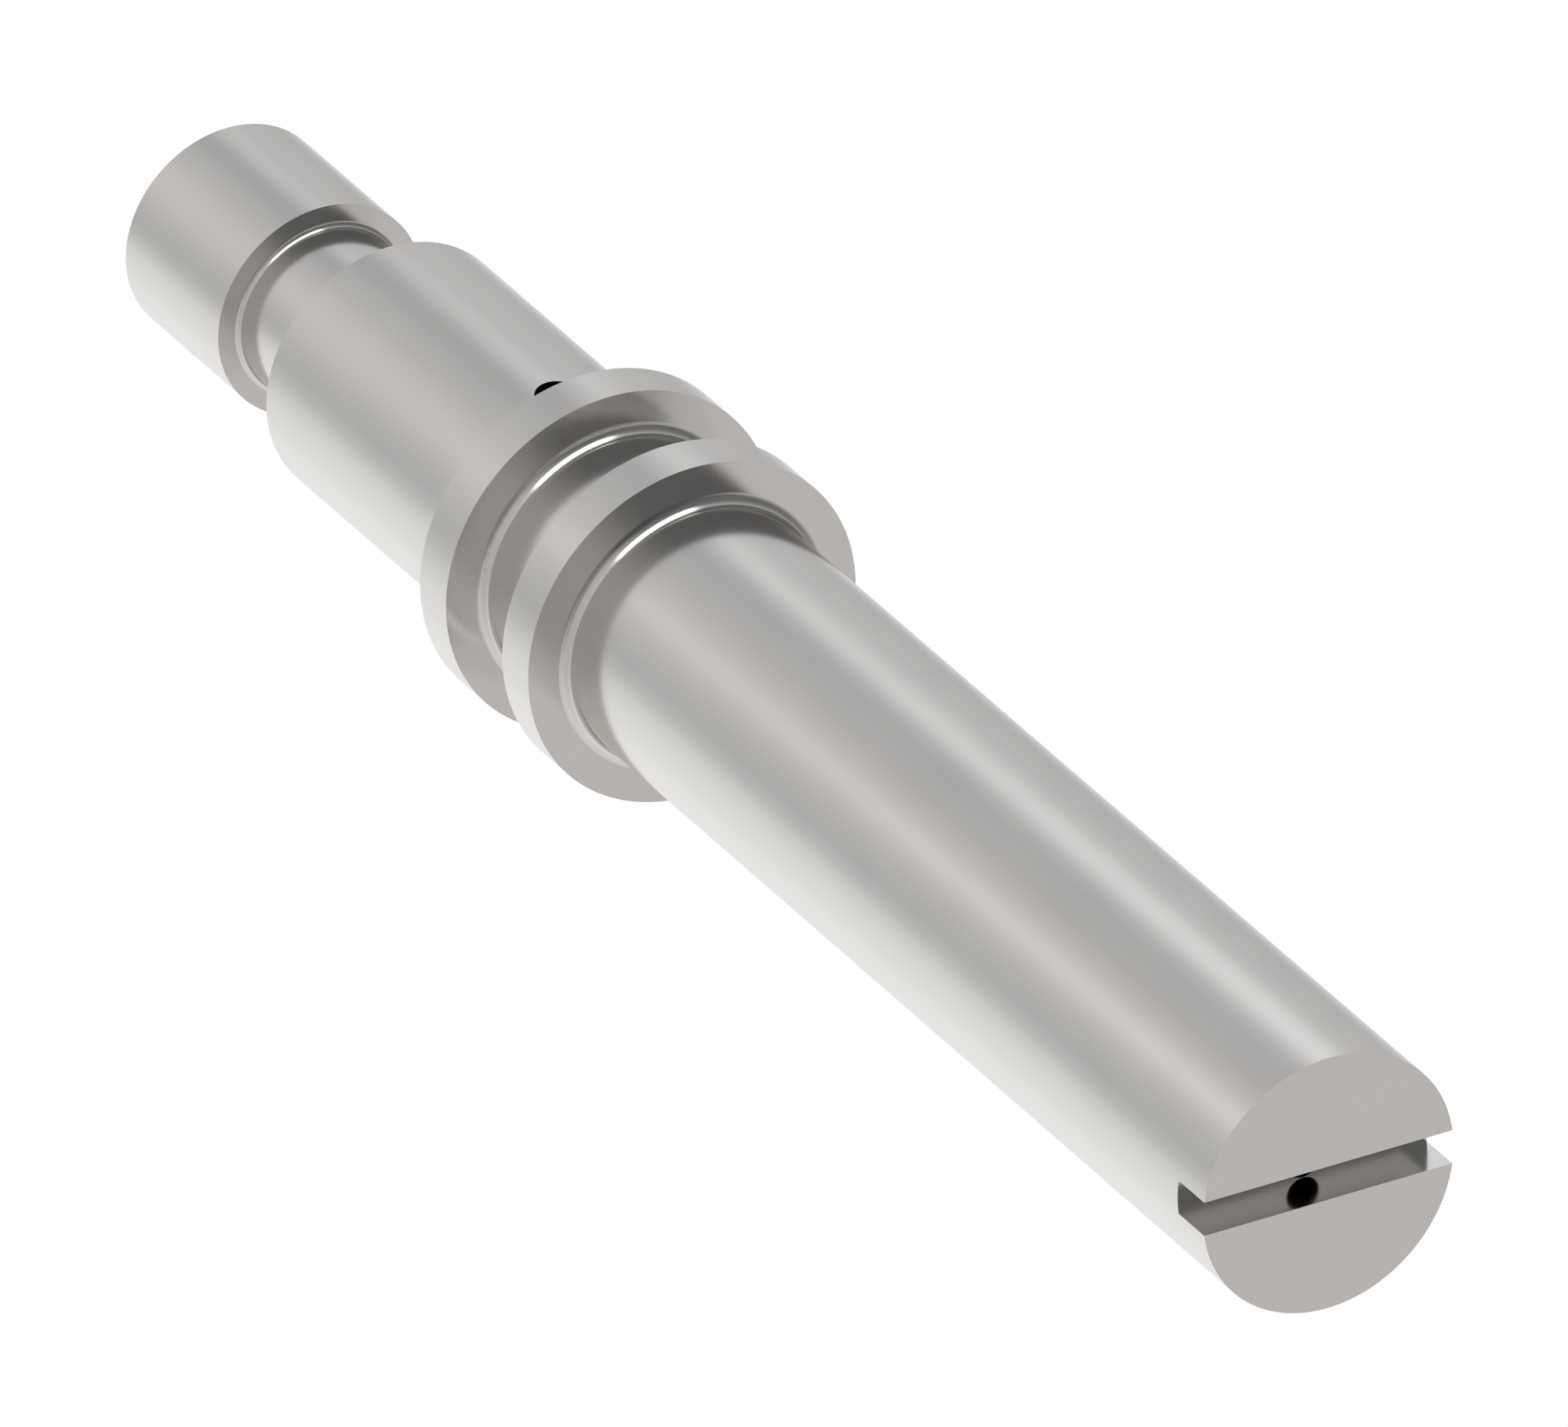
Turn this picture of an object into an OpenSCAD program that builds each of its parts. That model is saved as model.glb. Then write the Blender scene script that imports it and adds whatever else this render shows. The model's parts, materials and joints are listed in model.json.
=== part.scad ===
// Actuator pin, turned from one bar of steel.
// It stands on the flat end of its head. Z runs along its axis towards the slotted tip,
// and the driver slot runs along X.

/* [Shank, body and seal groove] */
// Diameter shared by the shank, the body and the floor of the seal groove
seat_d = 6.05; // [5.5:0.05:7]
// Length of the plain shank, from the front flange to the slotted tip
shank_l = 26.6; // [10:0.1:60]
// Width of the seal groove between the two flanges
groove_w = 2.4; // [1.6:0.1:5]
// Length of the body, from the neck to the rear flange
body_l = 8.3; // [4:0.1:20]

/* [Flanges] */
// Diameter of both flanges
flange_d = 8; // [7.6:0.1:10]
// Thickness of each flange
flange_t = 1.1; // [0.6:0.1:3]

/* [Neck and head] */
// Diameter of the neck
neck_d = 3.95; // [3:0.05:4.4]
// Length of the neck, from the head to the body
neck_l = 3; // [1:0.1:8]
// Diameter of the head
head_d = 5; // [4.8:0.1:6]
// Length of the head
head_l = 4; // [2:0.1:10]

/* [Driver slot] */
// Width of the slot across the tip
slot_w = 0.8; // [0.8:0.05:1.2]
// Depth of the slot
slot_depth = 1.06; // [0.5:0.01:2]

/* [Vent passage] */
// Diameter of the bore that runs down the axis from the slot's floor
vent_d = 0.79; // [0.4:0.01:0.79]
// Diameter of the cross hole in the body, which the bore runs into
cross_d = 1.05; // [0.8:0.05:1.4]
// Distance from the rear flange's back face to the cross hole's centre
cross_setback = 1.05; // [1:0.05:3]

/* [Fillets] */
// Radius in the corners where the flanges meet the shank, the groove and the body
seat_fillet_r = 0.25; // [0.05:0.05:0.5]
// Radius in the corners at both ends of the neck
neck_fillet_r = 0.13; // [0.05:0.01:0.18]

/* [Hidden] */
$fn = 96;

steel = [0.77, 0.76, 0.75];

// Full angle of the cone that a drill leaves at the end of a hole
drill_point = 118;
// How far a drill's full width runs past the hole that it meets
drill_overrun = 0.2;
// How far a cut runs past the surface that it opens through
cut_margin = 0.5;

seat_r = seat_d / 2;
flange_r = flange_d / 2;
neck_r = neck_d / 2;
head_r = head_d / 2;
vent_r = vent_d / 2;
cross_r = cross_d / 2;

// Heights of the faces, from the head's flat end up to the tip
head_top = head_l;
neck_top = head_top + neck_l;
body_top = neck_top + body_l;
rear_flange_top = body_top + flange_t;
groove_top = rear_flange_top + groove_w;
front_flange_top = groove_top + flange_t;
tip_z = front_flange_top + shank_l;

slot_floor_z = tip_z - slot_depth;
cross_z = body_top - cross_setback;
vent_end_z = cross_z - cross_r - drill_overrun;

// Half section of one turned length, between two heights
module turned_length(r, from_z, to_z) {
    translate([0, from_z])
        square([r, to_z - from_z]);
}

// Half section of the fillet in a corner. It rises from the corner where up is 1,
// and hangs from it where up is -1.
module corner_fillet(r, corner_r, corner_z, up) {
    translate([corner_r, corner_z])
        scale([1, up])
            difference() {
                square(r);
                translate([r, r])
                    circle(r);
            }
}

module turned_section() {
    turned_length(head_r, 0, head_top);
    turned_length(neck_r, head_top, neck_top);
    turned_length(seat_r, neck_top, tip_z);
    turned_length(flange_r, body_top, rear_flange_top);
    turned_length(flange_r, groove_top, front_flange_top);

    corner_fillet(neck_fillet_r, neck_r, head_top, 1);
    corner_fillet(neck_fillet_r, neck_r, neck_top, -1);
    corner_fillet(seat_fillet_r, seat_r, body_top, -1);
    corner_fillet(seat_fillet_r, seat_r, rear_flange_top, 1);
    corner_fillet(seat_fillet_r, seat_r, groove_top, -1);
    corner_fillet(seat_fillet_r, seat_r, front_flange_top, 1);
}

// A drilled hole of length l up to its full width, pointing along +Z, with its cone beyond
module drilled(r, l) {
    cylinder(r = r, h = l);
    translate([0, 0, l])
        cylinder(r1 = r, r2 = 0, h = r / tan(drill_point / 2));
}

module driver_slot() {
    translate([-seat_r - cut_margin, -slot_w / 2, slot_floor_z])
        cube([seat_d + 2 * cut_margin, slot_w, slot_depth + cut_margin]);
}

// The bore down the axis, from inside the slot to just past the cross hole
module vent_bore() {
    start_z = slot_floor_z + slot_depth / 2;
    translate([0, 0, start_z])
        rotate([180, 0, 0])
            drilled(vent_r, start_z - vent_end_z);
}

// The cross hole opens on the body's -Y side, square to the slot, and stops past the bore
module cross_hole() {
    translate([0, -seat_r - cut_margin, cross_z])
        rotate([-90, 0, 0])
            drilled(cross_r, seat_r + cut_margin + vent_r + drill_overrun);
}

module actuator_pin() {
    color(steel)
        difference() {
            rotate_extrude()
                turned_section();
            driver_slot();
            vent_bore();
            cross_hole();
        }
}

actuator_pin();
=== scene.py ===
import json
import math

import bmesh
import bpy
from mathutils import Matrix, Vector


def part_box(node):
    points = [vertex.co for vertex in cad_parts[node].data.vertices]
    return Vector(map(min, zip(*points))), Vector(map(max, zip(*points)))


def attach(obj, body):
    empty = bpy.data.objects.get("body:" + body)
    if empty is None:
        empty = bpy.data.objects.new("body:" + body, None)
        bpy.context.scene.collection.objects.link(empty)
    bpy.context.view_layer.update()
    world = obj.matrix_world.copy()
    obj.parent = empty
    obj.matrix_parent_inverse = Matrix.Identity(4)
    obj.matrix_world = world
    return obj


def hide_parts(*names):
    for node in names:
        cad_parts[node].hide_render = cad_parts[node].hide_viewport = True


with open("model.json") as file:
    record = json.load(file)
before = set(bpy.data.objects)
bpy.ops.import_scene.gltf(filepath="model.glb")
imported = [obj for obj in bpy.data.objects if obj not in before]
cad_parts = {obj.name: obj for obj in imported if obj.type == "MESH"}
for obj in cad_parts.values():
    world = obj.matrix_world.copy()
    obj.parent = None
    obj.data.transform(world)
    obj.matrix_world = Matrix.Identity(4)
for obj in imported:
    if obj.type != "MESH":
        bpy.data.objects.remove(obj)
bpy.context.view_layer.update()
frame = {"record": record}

mm = 0.001
nearly = 1e-4  # millimetres, or parts of a unit normal, that count as no difference


cadLow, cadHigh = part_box("actuator_pin")
mounts = {mount["name"]: mount for mount in frame["record"]["mounts"]}


# Steps that the modelling shares

def deselectAll():
    bpy.ops.object.select_all(action="DESELECT")


def workOn(obj):
    deselectAll()
    obj.select_set(True)
    bpy.context.view_layer.objects.active = obj


def applyPlace():
    bpy.ops.object.transform_apply(location=True, rotation=True, scale=True)


def enterEdit(obj):
    workOn(obj)
    bpy.ops.object.mode_set(mode="EDIT")


def leaveEdit():
    bpy.ops.object.mode_set(mode="OBJECT")


def selectFaces(obj, test):
    bpy.ops.mesh.select_all(action="DESELECT")
    bpy.ops.mesh.select_mode(type="FACE")
    mesh = bmesh.from_edit_mesh(obj.data)
    for face in mesh.faces:
        face.select_set(test(face))
    mesh.select_flush_mode()
    bmesh.update_edit_mesh(obj.data)


def isOnRing(place, radius, height):
    return abs(place.z - height) < nearly and abs(place.xy.length - radius) < nearly


def selectRing(obj, radius, height):
    # The edges of one circle of the turned shape
    bpy.ops.mesh.select_all(action="DESELECT")
    bpy.ops.mesh.select_mode(type="EDGE")
    mesh = bmesh.from_edit_mesh(obj.data)
    for edge in mesh.edges:
        edge.select_set(all(isOnRing(end.co, radius, height) for end in edge.verts))
    bmesh.update_edit_mesh(obj.data)


def isTop(face):
    return face.normal.z > 1 - nearly


def isStraight(face):
    # A flat shoulder or the side of a cylinder, and no part of a fillet
    lean = abs(face.normal.z)
    return lean > 1 - nearly or lean < nearly


def standingCylinder(name, radius, height, segments):
    # It stands on the floor, round Z
    deselectAll()
    bpy.ops.mesh.primitive_cylinder_add(
        vertices=segments, radius=radius, depth=height, location=(0, 0, height / 2), end_fill_type="NGON"
    )
    cylinder = bpy.context.active_object
    cylinder.name = name
    applyPlace()
    return cylinder


# Shader nodes. Most of these functions add a node to a tree and give back its output.

def feed(tree, socket, value):
    # The value is another node's output, or a plain value
    if isinstance(value, bpy.types.NodeSocket):
        tree.links.new(value, socket)
    else:
        socket.default_value = value


def mathNode(tree, operation, *values):
    node = tree.nodes.new("ShaderNodeMath")
    node.operation = operation
    for socket, value in zip(node.inputs, values):
        feed(tree, socket, value)
    return node.outputs[0]


def vectorMath(tree, operation, *values):
    node = tree.nodes.new("ShaderNodeVectorMath")
    node.operation = operation
    for socket, value in zip(node.inputs, values):
        feed(tree, socket, value)
    return node.outputs["Value" if operation in ("DOT_PRODUCT", "LENGTH") else "Vector"]


def scaled(tree, vector, factor):
    node = tree.nodes.new("ShaderNodeVectorMath")
    node.operation = "SCALE"
    feed(tree, node.inputs[0], vector)
    feed(tree, node.inputs["Scale"], factor)
    return node.outputs[0]


def ramp(tree, value, low, high, toLow=0.0, toHigh=1.0, smooth=True):
    # Maps low..high to toLow..toHigh, held level beyond both ends
    node = tree.nodes.new("ShaderNodeMapRange")
    node.interpolation_type = "SMOOTHSTEP" if smooth else "LINEAR"
    settings = {"Value": value, "From Min": low, "From Max": high, "To Min": toLow, "To Max": toHigh}
    for name, setting in settings.items():
        feed(tree, node.inputs[name], setting)
    return node.outputs["Result"]


def opaque(colour):
    return (*colour, 1.0)


def mixColour(tree, factor, first, second):
    node = tree.nodes.new("ShaderNodeMix")
    node.data_type = "RGBA"
    feed(tree, node.inputs["Factor"], factor)
    feed(tree, node.inputs["A"], first)
    feed(tree, node.inputs["B"], second)
    return node.outputs["Result"]


def splitPlace(tree, place):
    node = tree.nodes.new("ShaderNodeSeparateXYZ")
    tree.links.new(place, node.inputs[0])
    return node.outputs


def objectPlace(tree):
    return tree.nodes.new("ShaderNodeTexCoord").outputs["Object"]


def noiseOn(tree, place, detail, scale=1.0):
    node = tree.nodes.new("ShaderNodeTexNoise")
    node.inputs["Detail"].default_value = detail
    feed(tree, node.inputs["Vector"], place)
    feed(tree, node.inputs["Scale"], scale)
    return node.outputs["Fac"]


def groupNode(tree, group, values):
    # Places a group with values of its own
    node = tree.nodes.new("ShaderNodeGroup")
    node.node_tree = group
    for name, value in values.items():
        node.inputs[name].default_value = value
    return node.outputs[0]


# Materials

noiseSpan = (0.3, 0.7)  # nearly all of a noise texture's values lie between these
smallestRadius = 0.001 * mm  # keeps the rings' waviness from dividing by nothing on the axis

steelFinish = {
    "colour": (0.661, 0.644, 0.629),
    "paleColour": (0.675, 0.658, 0.642),
    "roughness": (0.155, 0.175),
    "ringsPerMm": 14.0,
    "waviness": 0.6,
    "bumpDepth": 0.000015 * mm,
    "patchesPerMm": 0.35,
}

slotFinish = {
    "colour": (0.676, 0.665, 0.658),
    "paleColour": (0.695, 0.684, 0.677),
    "roughness": (0.14, 0.17),
    "linesPerMm": 16.0,
    "lineLength": 40.0,  # how many times as long as wide a line is
    "bumpDepth": 0.00002 * mm,
    "patchesPerMm": 0.8,
}

# The bores' colour is nearly black. This is painted shade for the dark inside of the deep, narrow holes,
# not the steel's own colour. The roughness is that of a drilled finish.
drilledFinishAndPaintedShade = {
    "colour": (0.02, 0.019, 0.018),
    "paleColour": (0.03, 0.029, 0.027),
    "roughness": (0.45, 0.6),
    "patchesPerMm": 1.5,
}

# Keeps the steel from brightening much where it turns away from the eye
glancingTint = (0.86, 0.848, 0.84)


def newGroup(name, inputs, output):
    # Its sockets all carry plain numbers
    group = bpy.data.node_groups.new(name, "ShaderNodeTree")
    sockets = group.interface
    for socketName, value in inputs.items():
        socket = sockets.new_socket(name=socketName, in_out="INPUT", socket_type="NodeSocketFloat")
        socket.default_value = value
    sockets.new_socket(name=output, in_out="OUTPUT", socket_type="NodeSocketFloat")
    given = group.nodes.new("NodeGroupInput").outputs
    result = group.nodes.new("NodeGroupOutput").inputs[output]
    return group, given, result


def turnedGrainGroup():
    # Fine rings left by the lathe. They run round the axis on the cylinders and on the faces.
    group, given, result = newGroup("turnedGrain", {"Rings per mm": 10.0, "Waviness": 0.1}, "Height")
    axes = splitPlace(group, objectPlace(group))
    squares = [mathNode(group, "MULTIPLY", axes[axis], axes[axis]) for axis in "XY"]
    radius = mathNode(group, "SQRT", mathNode(group, "ADD", *squares))
    along = mathNode(group, "ADD", radius, axes["Z"])
    perMetre = mathNode(group, "MULTIPLY", given["Rings per mm"], 1 / mm)
    place = group.nodes.new("ShaderNodeCombineXYZ")
    safeRadius = mathNode(group, "MAXIMUM", radius, smallestRadius)
    for axis in "XY":
        turn = mathNode(group, "DIVIDE", axes[axis], safeRadius)
        feed(group, place.inputs[axis], mathNode(group, "MULTIPLY", turn, given["Waviness"]))
    feed(group, place.inputs["Z"], mathNode(group, "MULTIPLY", along, perMetre))
    feed(group, result, noiseOn(group, place.outputs[0], detail=3.0))
    return group


def cloudGroup():
    # Slow variation over the surface, as handling and polishing leave it
    inputs = {"Patches per mm": 0.4, "Low": 0.0, "High": 1.0}
    group, given, result = newGroup("surfaceClouds", inputs, "Value")
    perMetre = mathNode(group, "MULTIPLY", given["Patches per mm"], 1 / mm)
    noise = noiseOn(group, objectPlace(group), detail=4.0, scale=perMetre)
    feed(group, result, ramp(group, noise, *noiseSpan, given["Low"], given["High"], smooth=False))
    return group


turnedGrain = turnedGrainGroup()
surfaceClouds = cloudGroup()


def steelShader(name, finish):
    material = bpy.data.materials.new(name)
    material.use_nodes = True
    tree = material.node_tree
    shader = tree.nodes["Principled BSDF"]
    clouds = groupNode(tree, surfaceClouds, {"Patches per mm": finish["patchesPerMm"]})
    tone = mixColour(tree, clouds, opaque(finish["colour"]), opaque(finish["paleColour"]))
    polish = ramp(tree, clouds, 0.0, 1.0, *finish["roughness"], smooth=False)
    settings = {
        "Base Color": tone, "Metallic": 1.0, "Roughness": polish, "Specular Tint": opaque(glancingTint)
    }
    for socketName, setting in settings.items():
        feed(tree, shader.inputs[socketName], setting)
    return material, tree, shader


def addBump(tree, shader, height, depth):
    bump = tree.nodes.new("ShaderNodeBump")
    bump.inputs["Strength"].default_value = 1.0
    bump.inputs["Distance"].default_value = depth
    tree.links.new(height, bump.inputs["Height"])
    tree.links.new(bump.outputs["Normal"], shader.inputs["Normal"])


def turnedSteel():
    material, tree, shader = steelShader("turnedSteel", steelFinish)
    values = {"Rings per mm": steelFinish["ringsPerMm"], "Waviness": steelFinish["waviness"]}
    rings = groupNode(tree, turnedGrain, values)
    addBump(tree, shader, rings, steelFinish["bumpDepth"])
    return material


def slottedSteel():
    # The cutter leaves straight lines along the slot
    material, tree, shader = steelShader("slottedSteel", slotFinish)
    stretch = tree.nodes.new("ShaderNodeMapping")
    lines = slotFinish["linesPerMm"] / mm
    stretch.inputs["Scale"].default_value = (lines / slotFinish["lineLength"], lines, lines)
    tree.links.new(objectPlace(tree), stretch.inputs["Vector"])
    addBump(tree, shader, noiseOn(tree, stretch.outputs["Vector"], detail=2.0), slotFinish["bumpDepth"])
    return material


turned = turnedSteel()
slotted = slottedSteel()
# The bores' material: steel whose colour is painted shade, nearly black
boreSteelPaintedDark = steelShader("drilledSteel", drilledFinishAndPaintedShade)[0]
print("materials made")


# The pin. It is modelled in millimetres, and takes its real size at the end.

pin = {
    "segments": 192,
    "seatRadius": mounts["shank"]["dims"]["r_mm"],  # of the shank, the body and the groove's floor
    "flangeRadius": (cadHigh.x - cadLow.x) / 2 / mm,
    "headRadius": mounts["head"]["dims"]["r_mm"],
    "neckRadius": 1.975,
    "headTop": mounts["head"]["dims"]["length_mm"],
    "neckLength": 3.0,
    "bodyTop": mounts["rear_shoulder"]["pos_m"][2] / mm,
    "flangeThickness": 1.1,
    "shankFoot": mounts["front_shoulder"]["pos_m"][2] / mm,
    "tip": cadHigh.z / mm,
    "seatFillet": 0.25,
    "neckFillet": 0.13,
    "filletSteps": 10,
    "guard": 0.005,  # width of the thin strip along each border of a flat or straight face
    "smoothAngle": 35,  # degrees, past which an edge stays sharp
    "slotWidth": 0.8,
    "slotDepth": 1.06,
    "ventRadius": 0.395,
    "ventSegments": 48,
    "ventStart": 0.5,  # height above the slot's floor
    "crossRadius": 0.525,
    "crossSegments": 64,
    "crossSetback": 1.05,  # from the rear flange's back face to the cross hole's centre
    "cutMargin": 0.5,  # how far a cut runs past the surface that it opens through
    "drillOverrun": 0.2,  # how far a drill's full width runs past the hole that it meets
    "drillPoint": 118,  # degrees, the full angle of a drill's cone
}

slotFloor = pin["tip"] - pin["slotDepth"]
crossHeight = pin["bodyTop"] - pin["crossSetback"]


def extrudeUp(height):
    bpy.ops.mesh.extrude_region_move(TRANSFORM_OT_translate={"value": (0, 0, height)})


def stepTo(radius, newRadius):
    # A flat shoulder: the end face is extruded on the spot, then scaled to the next radius
    extrudeUp(0)
    ratio = newRadius / radius
    bpy.ops.transform.resize(value=(ratio, ratio, 1), center_override=(0, 0, 0))


def turnedBlank():
    blank = standingCylinder("actuatorPin", pin["headRadius"], pin["headTop"], pin["segments"])
    neckTop = pin["headTop"] + pin["neckLength"]
    rearFlangeTop = pin["bodyTop"] + pin["flangeThickness"]
    grooveTop = pin["shankFoot"] - pin["flangeThickness"]
    # Each length of the pin above the head: its radius and the height of its upper end
    lengths = (
        (pin["neckRadius"], neckTop),
        (pin["seatRadius"], pin["bodyTop"]),
        (pin["flangeRadius"], rearFlangeTop),
        (pin["seatRadius"], grooveTop),
        (pin["flangeRadius"], pin["shankFoot"]),
        (pin["seatRadius"], pin["tip"]),
    )
    enterEdit(blank)
    selectFaces(blank, isTop)
    radius, height = pin["headRadius"], pin["headTop"]
    for nextRadius, nextHeight in lengths:
        stepTo(radius, nextRadius)
        extrudeUp(nextHeight - height)
        radius, height = nextRadius, nextHeight

    # The rings of the inner corners, each with its radius, its height and its fillet
    corners = (
        (pin["neckRadius"], pin["headTop"], pin["neckFillet"]),
        (pin["neckRadius"], neckTop, pin["neckFillet"]),
        (pin["seatRadius"], pin["bodyTop"], pin["seatFillet"]),
        (pin["seatRadius"], rearFlangeTop, pin["seatFillet"]),
        (pin["seatRadius"], grooveTop, pin["seatFillet"]),
        (pin["seatRadius"], pin["shankFoot"], pin["seatFillet"]),
    )
    for cornerRadius, cornerHeight, fillet in corners:
        selectRing(blank, cornerRadius, cornerHeight)
        bpy.ops.mesh.bevel(
            offset=fillet, offset_type="OFFSET", segments=pin["filletSteps"], affect="EDGES", profile=0.5
        )

    # Thin strips along their borders keep the shading true on the flat faces and the cylinders
    selectFaces(blank, isStraight)
    bpy.ops.mesh.inset(thickness=pin["guard"], depth=0, use_boundary=True, use_even_offset=True)
    leaveEdit()
    return blank


def drillCutter(name, radius, depth, segments):
    # A drill pointing along +Z from the origin, with its cone past the full depth
    cutter = standingCylinder(name, radius, depth, segments)
    enterEdit(cutter)
    selectFaces(cutter, isTop)
    extrudeUp(radius / math.tan(math.radians(pin["drillPoint"]) / 2))
    bpy.ops.mesh.merge(type="CENTER")
    leaveEdit()
    # The bore walls take the nearly black steel, whose colour is painted shade
    cutter.data.materials.append(boreSteelPaintedDark)
    return cutter


def placeCutter(cutter, turn, place):
    cutter.matrix_world = Matrix.Translation(place) @ turn
    workOn(cutter)
    applyPlace()


def ventCutter():
    # From inside the slot down the axis, to just past the cross hole
    start = slotFloor + pin["ventStart"]
    end = crossHeight - pin["crossRadius"] - pin["drillOverrun"]
    cutter = drillCutter("ventCutter", pin["ventRadius"], start - end, pin["ventSegments"])
    placeCutter(cutter, Matrix.Rotation(math.pi, 4, "X"), Vector((0, 0, start)))
    return cutter


def crossCutter():
    # Into the body from its -Y side, to just past the vent
    outside = pin["seatRadius"] + pin["cutMargin"]
    depth = outside + pin["ventRadius"] + pin["drillOverrun"]
    cutter = drillCutter("crossCutter", pin["crossRadius"], depth, pin["crossSegments"])
    placeCutter(cutter, Matrix.Rotation(-math.pi / 2, 4, "X"), Vector((0, -outside, crossHeight)))
    return cutter


def slotCutter():
    deselectAll()
    length = 2 * (pin["seatRadius"] + pin["cutMargin"])
    height = pin["slotDepth"] + pin["cutMargin"]
    bpy.ops.mesh.primitive_cube_add(size=1, location=(0, 0, slotFloor + height / 2))
    cutter = bpy.context.active_object
    cutter.name = "slotCutter"
    cutter.scale = (length, pin["slotWidth"], height)
    applyPlace()
    cutter.data.materials.append(slotted)
    return cutter


def cutAway(obj, cutter):
    cut = obj.modifiers.new("cut", "BOOLEAN")
    cut.operation = "DIFFERENCE"
    cut.solver = "EXACT"
    cut.material_mode = "TRANSFER"
    cut.object = cutter
    workOn(obj)
    bpy.ops.object.modifier_apply(modifier=cut.name)
    bpy.data.objects.remove(cutter)


def makePin():
    blank = turnedBlank()
    blank.data.materials.append(turned)
    print("pin turned:", len(blank.data.polygons), "faces")

    for makeCutter in (slotCutter, ventCutter, crossCutter):
        cutAway(blank, makeCutter())
    print("slot and holes cut:", len(blank.data.polygons), "faces")

    blank.scale = (mm, mm, mm)
    workOn(blank)
    applyPlace()
    bpy.ops.object.shade_smooth_by_angle(angle=math.radians(pin["smoothAngle"]))
    return blank


actuatorPin = makePin()
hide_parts("actuator_pin")
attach(actuatorPin, "root")
print("pin made")


# Floor, studio and camera

# The angle of a light is in degrees, measured round Z from +X. The light has its full strength
# as far as "full" degrees to each side of it, and is gone at "fade" degrees.

# The camera sees a pale floor. The metal shows two light strips and a shade on a floor of its own.
# Each is a wedge that starts a little way from its foot and grows stronger outwards, so it shows
# more in the shank's tip than in the head.
floorLook = {
    "width": 0.6,  # metres
    "drop": 0.02,  # millimetres from the pin down to both floors
    "albedo": 0.08,  # of the pale floor's paint, in which the pin's shadow shows
    "glow": 0.968,  # light of its own that the pale floor shows the camera
    "strips": {
        "left": {
            "foot": (-0.34, -2.4), "start": 6.5, "angle": 237.3, "full": 0, "fade": 34.6,
            "level": 0.269, "tint": (1.0, 1.0, 1.0),
        },
        "right": {
            "foot": (2.0, -1.7), "start": 7.2, "angle": 321.5, "full": 0, "fade": 18.9,
            "level": 0.13, "tint": (1.04, 1.0, 0.96),
        },
    },
    "shade": {"foot": (1.0, 1.0), "start": 3.0, "angle": 288.7, "full": 0, "fade": 25, "depth": 0.11},
    "reach": 42.0,  # millimetres from the foot at which a wedge has its full strength
    "stripFades": (60.0, 140.0),  # millimetres from the foot between which a strip fades out
}

# The colour that every light is multiplied by. It is cool, because the steel is a little warm.
lightColour = (1.079, 1.103, 1.12)

studio = {
    # Each half of the room has a base colour and soft upright walls of light. A wall with a level
    # under zero takes light away.
    "lowerBase": (0.604, 0.612, 0.611),
    "lowerWalls": {
        "white": {"angle": 85.4, "full": 5, "fade": 83, "level": 0.546, "tint": (1.005, 1.0, 0.992)},
        "whiteEdge": {"angle": 34.5, "full": 0, "fade": 32.2, "level": 0.116, "tint": (1.01, 1.0, 0.987)},
        "whiteEnd": {"angle": 146.4, "full": 0, "fade": 30.3, "level": 0.122, "tint": (0.93, 1.0, 1.1)},
        "dim": {"angle": 210.1, "full": 0, "fade": 70, "level": 0.103, "tint": (1.0, 1.0, 1.0)},
        "left": {"angle": 232.9, "full": 0, "fade": 20, "level": 0.069, "tint": (1.0, 1.0, 1.0)},
        "dark": {"angle": 253.1, "full": 0, "fade": 22.3, "level": -0.086, "tint": (1.0, 1.0, 1.0)},
        "right": {"angle": 316.4, "full": 0, "fade": 52.2, "level": 0.164, "tint": (1.11, 0.95, 0.9)},
    },
    "upperBase": (0.183, 0.187, 0.186),
    "upperWalls": {
        "back": {"angle": 95, "full": 12, "fade": 82, "level": 0.628, "tint": (1.064, 1.0, 0.969)},
        "front": {"angle": 348, "full": 20, "fade": 90, "level": 0.381, "tint": (1.045, 1.0, 0.974)},
    },
    # A height in the room is the Z of a ray's direction. The lower half gives way to the upper
    # between the two heights of the horizon, and the upper half dims between those of the ceiling.
    "horizon": (-0.62, 0.66),
    "ceiling": (0.76, 1.02),
    "ceilingDim": 0.55,  # share of the light that is lost at the ceiling's upper height
    # The softbox has its full strength as far as fullHeight above and below its own height, and
    # is gone at fadeHeight
    "softbox": {
        "angle": 275, "full": 26, "fade": 36, "height": 0.12, "fullHeight": 0.14, "fadeHeight": 0.36,
        "level": 2.2, "tint": (1.0, 1.0, 1.0),
    },
}

largestCosine = 0.99999  # keeps the arc cosine within its range


def cameraRay(tree):
    return tree.nodes.new("ShaderNodeLightPath").outputs["Is Camera Ray"]


def uprightShare(tree, level, light):
    # How much of an upright light lies in a level direction: 1 within its full angle, 0 past its fade
    angle = math.radians(light["angle"])
    facing = vectorMath(tree, "DOT_PRODUCT", level, (math.cos(angle), math.sin(angle), 0))
    away = mathNode(tree, "ARCCOSINE", mathNode(tree, "MINIMUM", facing, largestCosine))
    return ramp(tree, away, math.radians(light["fade"]), math.radians(light["full"]))


def tinted(light):
    return [light["level"] * tint * share for tint, share in zip(light["tint"], lightColour)]


def levelled(tree, vector):
    return vectorMath(tree, "NORMALIZE", vectorMath(tree, "MULTIPLY", vector, (1, 1, 0)))


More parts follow.
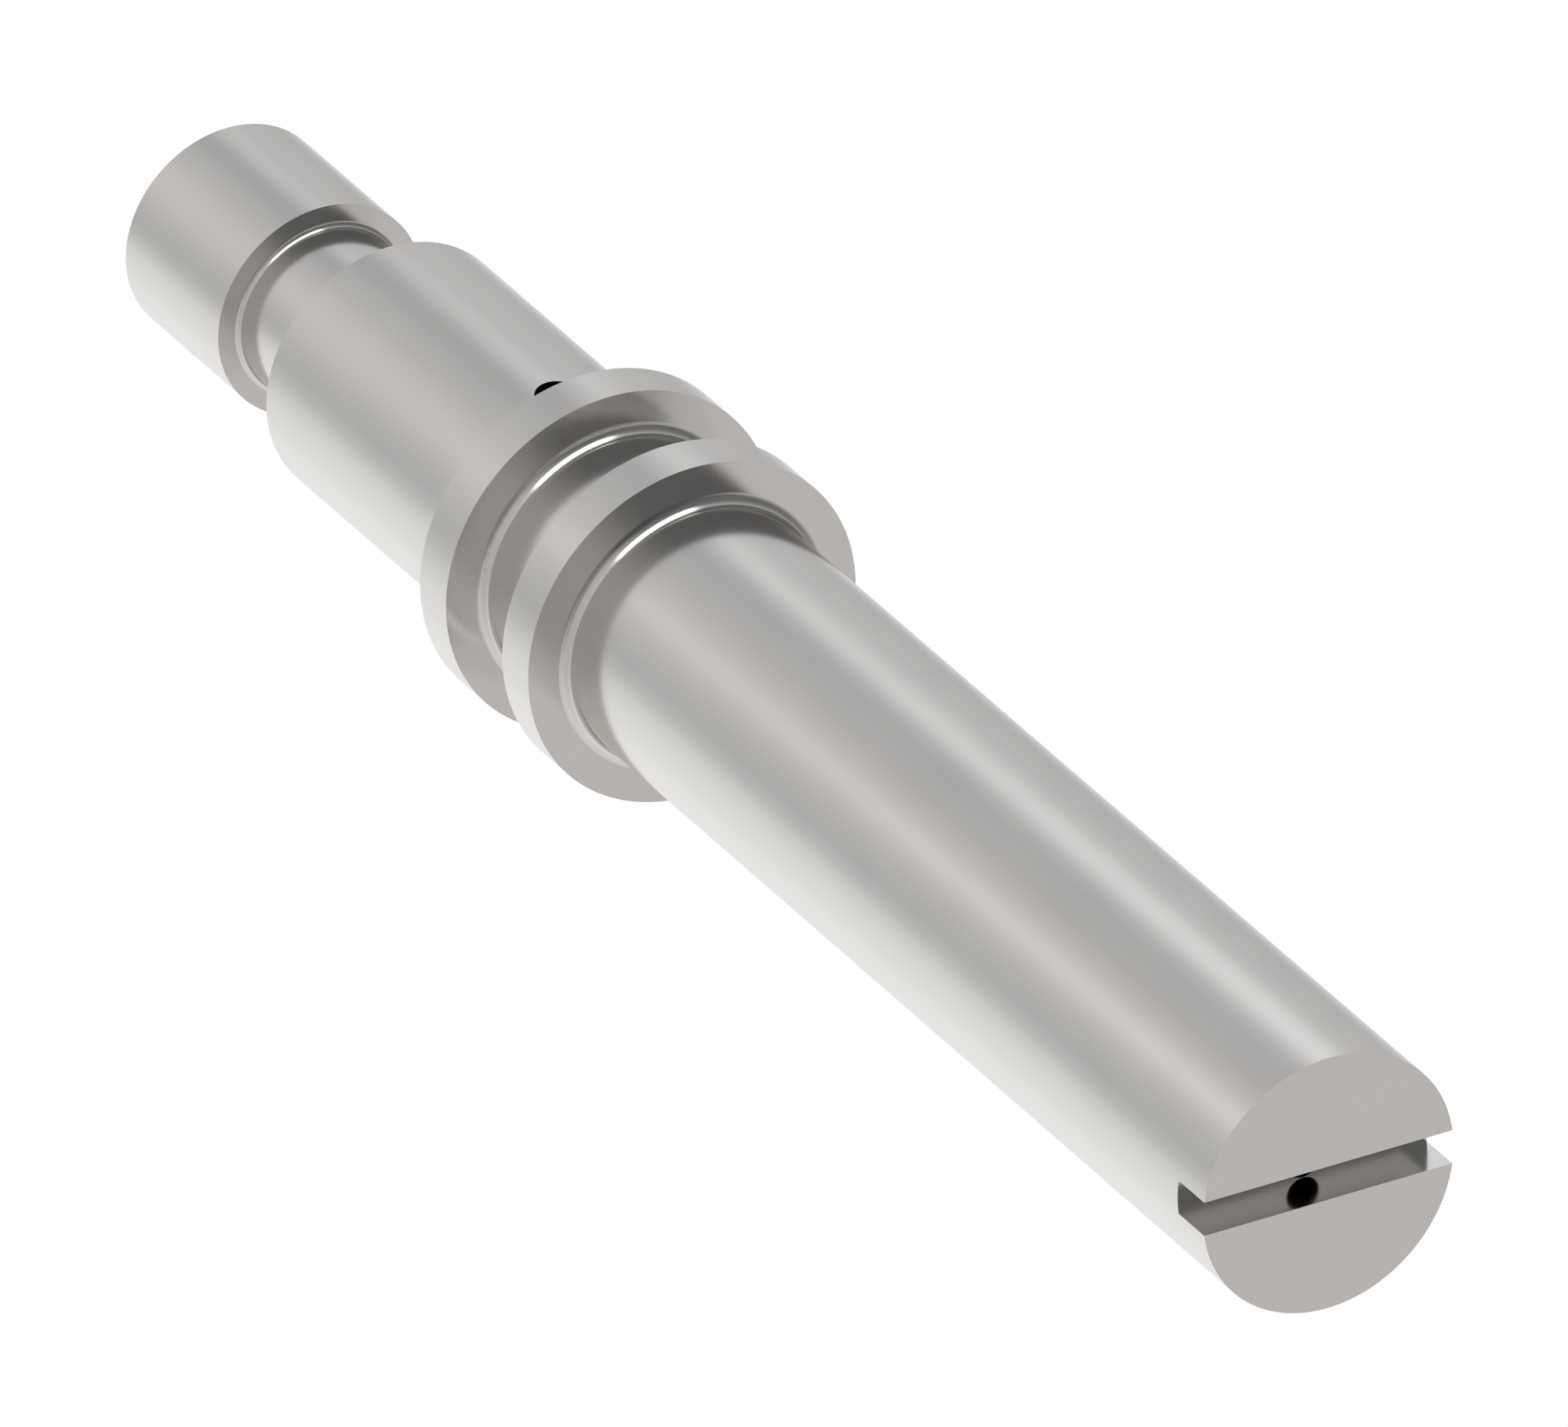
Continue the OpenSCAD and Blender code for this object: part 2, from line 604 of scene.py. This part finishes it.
def wedge(tree, light):
    # A wedge of floor: its strength at each place, and the distance from its foot
    footX, footY = light["foot"]
    along = vectorMath(tree, "SUBTRACT", objectPlace(tree), (footX * mm, footY * mm, 0))
    distance = vectorMath(tree, "LENGTH", along)
    grows = ramp(tree, distance, light["start"] * mm, floorLook["reach"] * mm, smooth=False)
    return mathNode(tree, "MULTIPLY", grows, uprightShare(tree, levelled(tree, along), light)), distance


def stripLight(tree):
    # The strips' colour at each place on the floor
    near, far = [distance * mm for distance in floorLook["stripFades"]]
    total = (0, 0, 0)
    for strip in floorLook["strips"].values():
        share, distance = wedge(tree, strip)
        share = mathNode(tree, "MULTIPLY", share, ramp(tree, distance, far, near))
        total = vectorMath(tree, "ADD", total, scaled(tree, tinted(strip), share))
    return total


def floorShade(tree):
    # How much of the room shows through the floor at each place
    share = wedge(tree, floorLook["shade"])[0]
    lost = mathNode(tree, "MULTIPLY", share, floorLook["shade"]["depth"])
    return mathNode(tree, "SUBTRACT", 1.0, lost)


def shaderNode(tree, kind, socketName, value):
    node = tree.nodes.new(kind)
    feed(tree, node.inputs[socketName], value)
    return node.outputs[0]


def addShaders(tree, first, second):
    node = tree.nodes.new("ShaderNodeAddShader")
    tree.links.new(first, node.inputs[0])
    tree.links.new(second, node.inputs[1])
    return node.outputs[0]


def finishTree(tree, kind, shader):
    out = tree.nodes.new(kind)
    tree.links.new(shader, out.inputs["Surface"])


def stagePlane(name, centreY):
    # A level plane just under the pin. Its material's tree comes back empty.
    deselectAll()
    place = (0, centreY, -floorLook["drop"] * mm)
    bpy.ops.mesh.primitive_plane_add(size=floorLook["width"], location=place)
    applyPlace()
    plane = bpy.context.active_object
    plane.name = name
    plane.visible_shadow = False
    material = bpy.data.materials.new(name)
    material.cycles.emission_sampling = "NONE"
    material.use_nodes = True
    material.node_tree.nodes.clear()
    plane.data.materials.append(material)
    return plane, material.node_tree


def makeFloor():
    # The camera sees white, with the pin's faint shadow in its paint
    floor, tree = stagePlane("paleFloor", 0)
    floor.visible_glossy = False
    floor.visible_transmission = False
    seen = cameraRay(tree)
    strength = mathNode(tree, "MULTIPLY", seen, floorLook["glow"])
    glow = shaderNode(tree, "ShaderNodeEmission", "Strength", strength)
    paint = shaderNode(tree, "ShaderNodeBsdfDiffuse", "Color", opaque([floorLook["albedo"]] * 3))

    # From below, the camera looks through the floor at the pin's end
    gap = tree.nodes.new("ShaderNodeBsdfTransparent").outputs[0]
    below = tree.nodes.new("ShaderNodeNewGeometry").outputs["Backfacing"]
    shown = tree.nodes.new("ShaderNodeMixShader")
    tree.links.new(mathNode(tree, "MULTIPLY", seen, below), shown.inputs["Fac"])
    tree.links.new(addShaders(tree, paint, glow), shown.inputs[1])
    tree.links.new(gap, shown.inputs[2])
    finishTree(tree, "ShaderNodeOutputMaterial", shown.outputs[0])


def makeMirroredFloor():
    # Metal shows the strips, and the room's lower half through the floor. Both strips and the shade
    # lie on the -Y side of the pin, so this plane covers that side alone.
    plane, tree = stagePlane("mirroredFloor", -floorLook["width"] / 2)
    plane.visible_camera = False
    plane.visible_diffuse = False
    clear = shaderNode(tree, "ShaderNodeBsdfTransparent", "Color", floorShade(tree))
    lit = shaderNode(tree, "ShaderNodeEmission", "Color", stripLight(tree))
    finishTree(tree, "ShaderNodeOutputMaterial", addShaders(tree, clear, lit))


def roomHalf(tree, level, base, walls):
    total = base
    for wall in walls.values():
        light = scaled(tree, tinted(wall), uprightShare(tree, level, wall))
        total = vectorMath(tree, "ADD", total, light)
    return total


def makeStudio():
    world = bpy.data.worlds.new("studio")
    bpy.context.scene.world = world
    world.use_nodes = True
    tree = world.node_tree
    tree.nodes.clear()
    direction = tree.nodes.new("ShaderNodeTexCoord").outputs["Generated"]
    height = splitPlace(tree, direction)["Z"]
    level = levelled(tree, direction)

    lower = roomHalf(tree, level, studio["lowerBase"], studio["lowerWalls"])
    upper = roomHalf(tree, level, studio["upperBase"], studio["upperWalls"])
    underCeiling = ramp(tree, height, *studio["ceiling"], 1.0, 1.0 - studio["ceilingDim"])
    aboveHorizon = ramp(tree, height, *studio["horizon"])
    room = mixColour(tree, aboveHorizon, lower, scaled(tree, upper, underCeiling))

    box = studio["softbox"]
    off = mathNode(tree, "ABSOLUTE", mathNode(tree, "SUBTRACT", height, box["height"]))
    withinHeight = ramp(tree, off, box["fadeHeight"], box["fullHeight"])
    within = mathNode(tree, "MULTIPLY", uprightShare(tree, level, box), withinHeight)
    room = vectorMath(tree, "ADD", room, scaled(tree, tinted(box), within))

    backdrop = mixColour(tree, cameraRay(tree), room, opaque((1.0, 1.0, 1.0)))
    shine = shaderNode(tree, "ShaderNodeBackground", "Color", backdrop)
    finishTree(tree, "ShaderNodeOutputWorld", shine)


# The photograph is a parallel view, so the lens is very long. Lengths are in millimetres.
cameraView = {
    "lens": 1550,
    "aim": Vector((7.386, -8.481, 36.582)),
    "away": 1408.15,  # from the aim to the camera, along "towards"
    "towards": Vector((0.4330, -0.5, 0.75)),
    "up": Vector((-0.25, -0.8660, -0.4330)),
    "clip": (500, 10000),
}


def makeCamera():
    deselectAll()
    bpy.ops.object.camera_add()
    camera = bpy.context.active_object
    camera.data.lens = cameraView["lens"]
    camera.data.clip_start, camera.data.clip_end = [clip * mm for clip in cameraView["clip"]]
    back = cameraView["towards"].normalized()
    up = cameraView["up"].normalized()
    turn = Matrix((up.cross(back), up, back)).transposed().to_4x4()
    place = (cameraView["aim"] + back * cameraView["away"]) * mm
    camera.matrix_world = Matrix.Translation(place) @ turn
    bpy.context.scene.camera = camera


makeFloor()
makeMirroredFloor()
makeStudio()
makeCamera()
bpy.context.scene.view_settings.view_transform = "Standard"
print("studio made")
